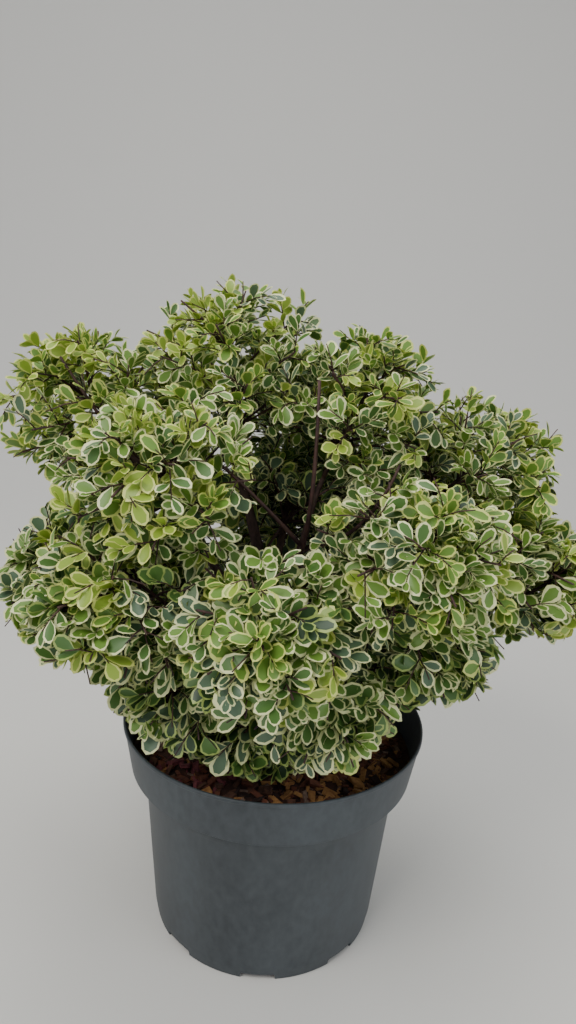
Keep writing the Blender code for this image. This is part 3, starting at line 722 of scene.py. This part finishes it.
def chip_tone(x, y):
    """Which brown a chip takes: more ochre at the front right, some purple at the left."""
    tone = rng.choice(CHIP_TONES) if rng.random() < COMMON_TONE_SHARE else OCHRE_TONE
    if x > OCHRE_CORNER[0] and y < OCHRE_CORNER[1] and rng.random() < OCHRE_SHARE:
        tone = OCHRE_TONE
    if x < PURPLE_CORNER[0] and y < PURPLE_CORNER[1] and rng.random() < PURPLE_SHARE:
        tone = PURPLE_TONE
    return tone


def build_chips(surfaces):
    """Bark chips: small broken blocks of several browns, lying every way on the mix."""
    bm = bmesh.new()
    for k in range(CHIP_COUNT):
        length = rng.uniform(*CHIP_LENGTHS) * (1.0 if k % 3 else CHIP_SHORT)
        out = (CHIP_REACH - length * 0.5) * math.sqrt(rng.random())
        spin = rng.uniform(0, 2 * math.pi)
        if out < CHIP_STEM_ROOM:
            continue
        x, y = out * math.cos(spin), out * math.sin(spin)
        made = bmesh.ops.create_cube(bm, size=1.0)["verts"]
        wide = length * rng.uniform(*CHIP_WIDTHS)
        thick = min(wide, length * rng.uniform(*CHIP_THICKNESSES))
        for corner in made:
            taper = 1.0 - CHIP_TAPER * rng.random()
            corner.co = Vector((
                corner.co.x * length * rng.uniform(*CHIP_LONG_UNEVEN),
                corner.co.y * wide * taper,
                corner.co.z * thick * rng.uniform(*CHIP_THICK_UNEVEN),
            ))
        turn = Matrix.Rotation(rng.uniform(0, 2 * math.pi), 4, "Z")
        turn = turn @ Matrix.Rotation(rng.gauss(0, CHIP_PITCH), 4, "Y")
        turn = turn @ Matrix.Rotation(rng.gauss(0, CHIP_ROLL), 4, "X")
        place = Matrix.Translation((x, y, mix_height(x, y) + rng.uniform(*CHIP_LIFTS)))
        bmesh.ops.transform(bm, matrix=place @ turn, verts=made)
        tone = chip_tone(x, y)
        for face in {f for corner in made for f in corner.link_faces}:
            face.material_index = tone
    bmesh.ops.recalc_face_normals(bm, faces=bm.faces)
    mesh = bpy.data.meshes.new("bark_chips")
    bm.to_mesh(mesh)
    bm.free()
    for surface in surfaces:
        mesh.materials.append(surface)
    return new_object("bark_chips", mesh)


class Pile:
    """Gathers many small shapes of one kind as rows of corners and faces, for one joined mesh."""

    def __init__(self):
        self.corners = []
        self.faces = []
        self.slots = []
        self.count = 0

    def add(self, corners, faces, slots):
        self.corners.append(corners)
        self.faces += [tuple(self.count + c for c in face) for face in faces]
        self.slots += slots
        self.count += len(corners)

    def finished(self, name, surfaces):
        mesh = bpy.data.meshes.new(name)
        mesh.from_pydata(np.vstack(self.corners), [], self.faces)
        mesh.polygons.foreach_set("material_index", self.slots)
        mesh.polygons.foreach_set("use_smooth", [True] * len(self.faces))
        for surface in surfaces:
            mesh.materials.append(surface)
        mesh.update()
        return new_object(name, mesh)


def twig_shape(points, radii, sides):
    """A thin closed twig: rings of corners along a line, with its ends closed."""
    rows = []
    heading = (points[-1] - points[0]).normalized()
    side = heading.orthogonal().normalized()
    other = heading.cross(side)
    for i, point in enumerate(points):
        size = radii[0] + (radii[1] - radii[0]) * i / (len(points) - 1)
        for k in range(sides):
            turn = 2.0 * math.pi * k / sides
            rows.append(tuple(point + (side * math.cos(turn) + other * math.sin(turn)) * size))
    faces = [tuple(reversed(range(sides)))]
    for i in range(len(points) - 1):
        for k in range(sides):
            a, b = i * sides + k, i * sides + (k + 1) % sides
            faces.append((a, b, b + sides, a + sides))
    faces.append(tuple(range((len(points) - 1) * sides, len(points) * sides)))
    return np.array(rows), faces


def leaf_faces():
    """Faces of one leaf and whether each is in the green middle (0) or the cream margin (1)."""
    columns = len(LEAF_COLUMNS)
    rows = len(LEAF_STATIONS)
    tip = 1 + rows * columns
    faces, kinds = [], []
    for k in range(columns - 1):
        edge = 1 if k in (0, columns - 2) else 0
        faces.append((0, 1 + k + 1, 1 + k))
        kinds.append(edge)
        for r in range(rows - 1):
            a = 1 + r * columns + k
            faces.append((a, a + 1, a + 1 + columns, a + columns))
            kinds.append(edge)
        a = 1 + (rows - 1) * columns + k
        faces.append((a, a + 1, tip))
        kinds.append(1)
    return faces, kinds


LEAF_FACES, LEAF_KINDS = leaf_faces()


def leaf_shape(root, along, up, length, width):
    """Corners of one leaf: a blunt blade with a soft fold, a drooping tip and a wavy edge."""
    across = up.cross(along).normalized()
    up = along.cross(across).normalized()
    fold = rng.uniform(*LEAF_FOLDS)
    droop = rng.uniform(*LEAF_DROOPS) * length
    wave = rng.uniform(*LEAF_WAVES) * LEAF_WAVE * length
    phase = rng.uniform(0, 2 * math.pi)
    green = rng.uniform(*GREEN_SIZES)
    rows = [tuple(root)]
    for share, half, middle in zip(LEAF_STATIONS, LEAF_HALF_WIDTHS, GREEN_SHARES):
        for column in LEAF_COLUMNS:
            spread = column
            if abs(column) not in (0.0, 1.0):
                spread = math.copysign(min(GREEN_MOST, middle * green), column)
            reach = spread * half * width / 2.0
            lift = fold * abs(reach) * 2.0 - droop * share * share
            lift += wave * abs(spread) * math.sin(share * LEAF_WAVE_TURN + phase + column)
            rows.append(tuple(root + along * (share * length) + across * reach + up * lift))
    rows.append(tuple(root + along * length - up * droop))
    return np.array(rows)


def cell_margin(name, points):
    """How far each point is inside the planes that part this mass from the others."""
    centre, half = (np.array(v) for v in MASSES[name])
    own = ((points - centre) ** 2).sum(1) - np.mean(half) ** 2
    least = np.full(len(points), np.inf)
    for other, (place, size) in MASSES.items():
        if other != name:
            theirs = ((points - np.array(place)) ** 2).sum(1) - np.mean(size) ** 2
            apart = 2.0 * np.linalg.norm(np.array(place) - centre)
            least = np.minimum(least, (theirs - own) / apart)
    return least


def clear_of_pot(points, room):
    """Which points are over the mix inside the mouth, or outside the pot."""
    out = np.hypot(points[:, 0], points[:, 1])
    mouth = (out < BAND_FOOT_R - WALL - room) & (points[:, 2] > MIX_TOP_Z + room)
    return (points[:, 2] > POT_HEIGHT + room) | (out > POT_RIM_R + room) | mouth


def sight_blocked(points):
    """Which points stand between the camera and a stem that shows in the photograph."""
    camera = np.array(CAMERA_PLACE)
    blocked = np.zeros(len(points), bool)
    for spot in SIGHT_SPOTS:
        ray = spot - camera
        reach = np.linalg.norm(ray)
        ray = ray / reach
        ahead = (points - camera) @ ray
        away = np.linalg.norm(points - camera - ahead[:, None] * ray, axis=1)
        blocked |= (away < SIGHT_GAP) & (ahead < reach)
    return blocked


class Space:
    """The room of one mass: its ellipsoid, its side of the planes, clear of limbs and pot."""

    def __init__(self, name, beads):
        self.name = name
        self.centre, self.half = (np.array(v) for v in MASSES[name])
        near = np.linalg.norm(beads[:, :3] - self.centre, axis=1) < self.half.max() + BEAD_REACH
        self.beads = beads[near]
        self.reach = 1.0

    def holds(self, points):
        points = np.array([tuple(p) for p in points])
        inside = (((points - self.centre) / self.half) ** 2).sum(1) < self.reach**2
        if not inside.all() or not (cell_margin(self.name, points) > -CELL_OVERLAP).all():
            return False
        if not clear_of_pot(points, POT_ROOM).all():
            return False
        away = np.linalg.norm(points[:, None] - self.beads[None, :, :3], axis=2) - self.beads[None, :, 3]
        return bool((away > LIMB_ROOM).all())


def spread_direction(k, count, turn):
    """The k-th of count directions spread evenly over a ball."""
    z = 1.0 - (2.0 * k + 1.0) / count
    flat = math.sqrt(max(0.0, 1.0 - z * z))
    angle = k * GOLDEN_ANGLE + turn
    return Vector((flat * math.cos(angle), flat * math.sin(angle), z))


def scaled(direction, half, share):
    return Vector([direction[k] * half[k] * share for k in range(3)])


def main_twig(name, points, radii):
    """The twig that carries a mass, from its bough's tip out through its middle."""
    centre, half = (Vector(v) for v in MASSES[name])
    heading = (points[-1] - points[-2]).normalized()
    outward = (centre - CROWN_MIDDLE).normalized()
    start = points[-1] - heading * MAIN_TWIG_SINK
    bend = points[-1] + heading * MAIN_TWIG_STRAIGHT
    line = [start, bend, centre, centre + scaled(outward, half, MAIN_TWIG_REACH)]
    root_r = min(MAIN_TWIG_ROOT_R, radii[-1] * MAIN_TWIG_STEP_DOWN)
    return line, (root_r, MAIN_TWIG_TIP_R)


def arched(foot, tip, rise):
    """A twig's line with its middle a little above the straight way from foot to tip."""
    middle = foot.lerp(tip, 0.5) + Vector((0, 0, rise * (tip - foot).length))
    return [foot, middle, tip]


def spray_colour(at):
    """Which pair of colours a spray takes, as painted light and shade: yellow at the top and tips, grey and
    deep below and inside.
    """
    height = (at.z - LEAF_LOW_Z) / (LEAF_TOP_Z - LEAF_LOW_Z)
    outside = math.hypot(at.x / CROWN_HALF_WIDTH, at.y / CROWN_HALF_DEPTH)
    light = LIGHT_FROM_HEIGHT * height + LIGHT_FROM_OUTSIDE * outside + rng.gauss(0, LIGHT_SCATTER)
    place = (1.0 - light) * (len(SPRAY_COLOURS) - 1)
    return SPRAY_COLOURS[min(len(SPRAY_COLOURS) - 1, max(0, round(place)))]


def grow_spray(space, foot, heading, outward, length, pile, twigs, droop):
    """A spray: a fine twig with leaves round it at the golden angle, crowded at its tip."""
    tip = foot + heading * length
    tip.z -= droop * length
    if not space.holds([foot.lerp(tip, SPRAY_TEST_PLACE), tip]):
        return
    line = arched(foot, tip, SPRAY_ARCH)
    corners, faces = twig_shape(line, SPRAY_RADII, SPRAY_SIDES)
    twigs.add(corners, faces, [0] * len(faces))
    green, cream = spray_colour(tip)
    kinds = (LEAF_SLOTS.index(green), LEAF_SLOTS.index(cream))
    slots = [kinds[kind] for kind in LEAF_KINDS]
    spin = rng.uniform(0, 2 * math.pi)
    side = heading.orthogonal().normalized()
    other = heading.cross(side)
    for k in range(SPRAY_LEAVES):
        share = SPRAY_BARE + (1.0 - SPRAY_BARE) * (k / (SPRAY_LEAVES - 1)) ** SPRAY_CROWDING
        at, run = along_line(line, share)
        spin += GOLDEN_ANGLE
        away = side * math.cos(spin) + other * math.sin(spin)
        along = run * (LEAF_FORWARD[0] + LEAF_FORWARD[1] * share)
        along += away * (LEAF_AWAY[0] + LEAF_AWAY[1] * share) + outward * LEAF_OUTWARD
        along.normalize()
        up = outward * LEAF_UP_OUTWARD + LEAF_UP + away * LEAF_UP_AWAY + run * LEAF_UP_ALONG
        up += Vector([rng.gauss(0, LEAF_UP_SCATTER) for _ in range(3)])
        if up.cross(along).length < LEAF_LEAST_FACING:
            continue
        height = min(1.0, max(0.0, (at.z - LEAF_LOW_Z) / (LEAF_TOP_Z - LEAF_LOW_Z)))
        size = LEAF_LOW_LENGTH + (LEAF_TOP_LENGTH - LEAF_LOW_LENGTH) * height
        young = k >= SPRAY_LEAVES - YOUNG_LEAVES
        size *= rng.uniform(*LEAF_SIZES) * (YOUNG_LEAF_SIZE if young else 1.0)
        corners = leaf_shape(at, along, up, size, size * rng.uniform(*LEAF_WIDTHS))
        if space.holds(corners[1:]) and not sight_blocked(corners[3::3]).any():
            pile.add(corners, LEAF_FACES, slots)


def grow_mass(name, line, radii, beads, leaf_surfaces, twig_surface):
    """One mass: side twigs from its main twig, sprays from those, and leaves on the sprays."""
    centre, half = (Vector(v) for v in MASSES[name])
    space = Space(name, beads)
    outward = (centre - CROWN_MIDDLE).normalized()
    droop = SKIRT_DROOP if name.startswith(("skirt", "low")) else 0.0
    leaves, twigs = Pile(), Pile()
    corners, faces = twig_shape(line, radii, MAIN_TWIG_SIDES)
    twigs.add(corners, faces, [0] * len(faces))
    turn = rng.uniform(0, 2 * math.pi)
    run = (line[-1] - line[0]).normalized()
    feet = [(line, MAIN_SPRAY_FOOT + MAIN_SPRAY_SPREAD * k / SPRAYS) for k in range(SPRAYS)]
    for k in range(SIDE_TWIGS):
        direction = spread_direction(k, SIDE_TWIGS, turn)
        if direction.dot(outward) < TWIG_LEAST_OUTWARD:
            continue
        ahead = max(0.0, direction.dot(run))
        foot, _ = along_line(line, TWIG_FOOT + TWIG_FOOT_SPREAD * ahead)
        for reach in TWIG_SHORTENING:
            far = centre + scaled(direction, half, SIDE_TWIG_REACH * reach)
            far.z -= (far - foot).length * droop
            side_line = arched(foot, far, TWIG_ARCH * rng.uniform(*TWIG_ARCHES))
            if space.holds(side_line[1:]):
                corners, faces = twig_shape(side_line, SIDE_TWIG_RADII, SIDE_TWIG_SIDES)
                twigs.add(corners, faces, [0] * len(faces))
                for i in range(SPRAYS):
                    feet.append((side_line, SIDE_SPRAY_FOOT + SIDE_SPRAY_SPREAD * (i + 0.5) / SPRAYS))
                feet.append((side_line, 1.0))
                break
    for k, (carrier, share) in enumerate(feet):
        space.reach = rng.uniform(*SPRAY_REACH)
        at, heading = along_line(carrier, share)
        side = heading.orthogonal().normalized()
        other = heading.cross(side)
        spin = k * GOLDEN_ANGLE + turn
        lean = SPRAY_TIP_LEAN if share == 1.0 else SPRAY_LEAN
        away = side * math.cos(spin) + other * math.sin(spin)
        direction = (heading * (1.0 - lean) + away * lean + outward * SPRAY_OUTWARD).normalized()
        length = rng.uniform(*SPRAY_LENGTHS)
        grow_spray(space, at, direction, outward, length, leaves, twigs, droop)
    for stem_mass, sizes, points in SHOWN_STEMS:
        if stem_mass == name:
            corners, faces = twig_shape(rounded([Vector(p) for p in points]), sizes, SHOWN_STEM_SIDES)
            twigs.add(corners, faces, [0] * len(faces))
    foliage = leaves.finished("foliage_" + name, leaf_surfaces)
    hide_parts("leaves_" + name)
    twigs.finished("twigs_" + name, [twig_surface])


def rounded(points):
    """A smooth line through the start, the middle point and the end."""
    start, middle, end = points
    control = middle * 2.0 - (start + end) * 0.5
    out = []
    for i in range(STEM_CURVE_STEPS + 1):
        t = i / STEM_CURVE_STEPS
        out.append(start * (1 - t) ** 2 + control * 2 * t * (1 - t) + end * t * t)
    return out


def sight_spots():
    """Points along the shown stems, beyond their hidden feet."""
    spots = []
    for _, _, points in SHOWN_STEMS:
        line = rounded([Vector(p) for p in points])
        for i, point in enumerate(line):
            if i >= len(line) // STEM_HIDDEN_SHARE:
                spots.append(np.array(point))
    return spots


def build_stage():
    """A pale floor that curves up behind the plant into a pale wall."""
    profile = [(FLOOR_NEAR, 0.0), (FLOOR_FAR, 0.0)]
    for degrees in range(COVE_STEP_DEGREES, 90 + 1, COVE_STEP_DEGREES):
        turn = math.radians(degrees)
        profile.append((FLOOR_FAR + COVE_R * math.sin(turn), COVE_R - COVE_R * math.cos(turn)))
    profile.append((FLOOR_FAR + COVE_R, WALL_BEHIND_TOP))
    bm = bmesh.new()
    corners = [bm.verts.new((-FLOOR_HALF_WIDTH, y, z)) for y, z in profile]
    edges = [bm.edges.new(pair) for pair in zip(corners, corners[1:])]
    grown = bmesh.ops.extrude_edge_only(bm, edges=edges)["geom"]
    far = [g for g in grown if isinstance(g, bmesh.types.BMVert)]
    bmesh.ops.translate(bm, vec=(FLOOR_HALF_WIDTH * 2.0, 0.0, 0.0), verts=far)
    surface = plain_material("floor_pale", FLOOR_COLOUR, FLOOR_ROUGHNESS)
    floor = from_bmesh("floor", bm, surface, math.radians(FLOOR_SMOOTH_DEGREES), None)
    floor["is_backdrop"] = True


def area_light(name, place, aim, size, power, colour):
    data = bpy.data.lights.new(name, "AREA")
    data.shape = "RECTANGLE"
    data.size, data.size_y = size
    data.energy = power
    data.color = colour
    made = bpy.data.objects.new(name, data)
    made.location = place
    made.rotation_euler = (Vector(aim) - Vector(place)).to_track_quat("-Z", "Y").to_euler()
    bpy.context.scene.collection.objects.link(made)


def build_light():
    world = bpy.data.worlds.new("studio")
    world.use_nodes = True
    background = world.node_tree.nodes["Background"]
    background.inputs["Color"].default_value = SKY_COLOUR
    background.inputs["Strength"].default_value = SKY_STRENGTH
    bpy.context.scene.world = world
    for name, (place, aim, size, power, colour) in LIGHTS.items():
        area_light(name, place, aim, size, power, colour)


def build_camera():
    ahead = Vector((0, math.cos(CAMERA_DOWN), -math.sin(CAMERA_DOWN)))
    upward = Vector((0, math.sin(CAMERA_DOWN), math.cos(CAMERA_DOWN)))
    right = Vector((1, 0, 0))
    across = right * math.cos(CAMERA_ROLL) + upward * math.sin(CAMERA_ROLL)
    up = upward * math.cos(CAMERA_ROLL) - right * math.sin(CAMERA_ROLL)
    turn = Matrix((across, up, -ahead)).transposed().to_4x4()
    data = bpy.data.cameras.new("camera")
    data.sensor_width = SENSOR_MM
    data.lens = FOCAL_PIXELS * SENSOR_MM / PHOTO_HEIGHT_PIXELS
    camera = bpy.data.objects.new("camera", data)
    camera.matrix_world = Matrix.Translation(CAMERA_PLACE) @ turn
    bpy.context.scene.collection.objects.link(camera)
    bpy.context.scene.camera = camera


mottle = mottle_group()
pot_plastic = mottled_material("pot_plastic_worn", mottle, dark=(45, 51, 56), light=(70, 77, 82),
                               coarse=9.0, fine=160.0, stretch=(1.0, 1.0, 0.6),
                               rough=(0.42, 0.62), bump=(0.12, 0.0004))
mix_surface = mottled_material("mix_crumbs", mottle, dark=(24, 15, 12), light=(78, 46, 34),
                               coarse=90.0, fine=420.0, stretch=(1.0, 1.0, 1.0),
                               rough=(0.85, 0.98), bump=(0.9, 0.0016))
chip_surfaces = [
    mottled_material(name, mottle, dark=dark, light=light, coarse=140.0, fine=700.0,
                     stretch=(1.0, 1.0, 1.0), rough=(0.8, 0.95), bump=(0.5, 0.0006))
    for name, (dark, light) in CHIP_BROWNS.items()
]
bark = mottled_material("stem_bark_dark", mottle, dark=(44, 30, 30), light=(98, 74, 66),
                        coarse=120.0, fine=620.0, stretch=(1.0, 1.0, 0.35),
                        rough=(0.6, 0.85), bump=(0.5, 0.0008))
twig_bark = mottled_material("twig_bark", mottle, dark=(42, 24, 26), light=(88, 58, 50),
                             coarse=90.0, fine=500.0, stretch=(1.0, 1.0, 0.5),
                             rough=(0.5, 0.75), bump=(0.3, 0.0004))
LEAF_SLOTS = [*GREENS, *CREAMS]
leaf_colours = {**GREENS, **CREAMS}
leaf_surfaces = [plain_material(name, colour, LEAF_ROUGHNESS) for name, colour in leaf_colours.items()]

build_camera()
build_light()
build_stage()
build_pot(pot_plastic)
build_mix(mix_surface)
build_chips(chip_surfaces)

lines = {"stem": stem_line()}
for name, (parent, share, radius) in BOUGHS.items():
    lines[name] = bough_line(name, lines[parent][0], share, radius)
for name, (points, radii) in lines.items():
    node = "stem" if name == "stem" else "bough_" + name
    limb = bark_limb("bark_" + name, points, radii, bark)
    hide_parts(node)

beads = []
for points, radii in lines.values():
    spots, sizes = resampled(points, radii, BEAD_STEP)
    beads += [(*spot, size) for spot, size in zip(spots, sizes)]
beads = np.array(beads)
SIGHT_SPOTS = sight_spots()
for name in MASSES:
    points, radii = lines.get(name, lines["stem"])
    line, sizes = main_twig(name, points, radii)
    grow_mass(name, line, sizes, beads, leaf_surfaces, twig_bark)

sizes = {"cad": [list(corner) for corner in CAD_BOX], "dressed": [list(corner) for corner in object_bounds()]}
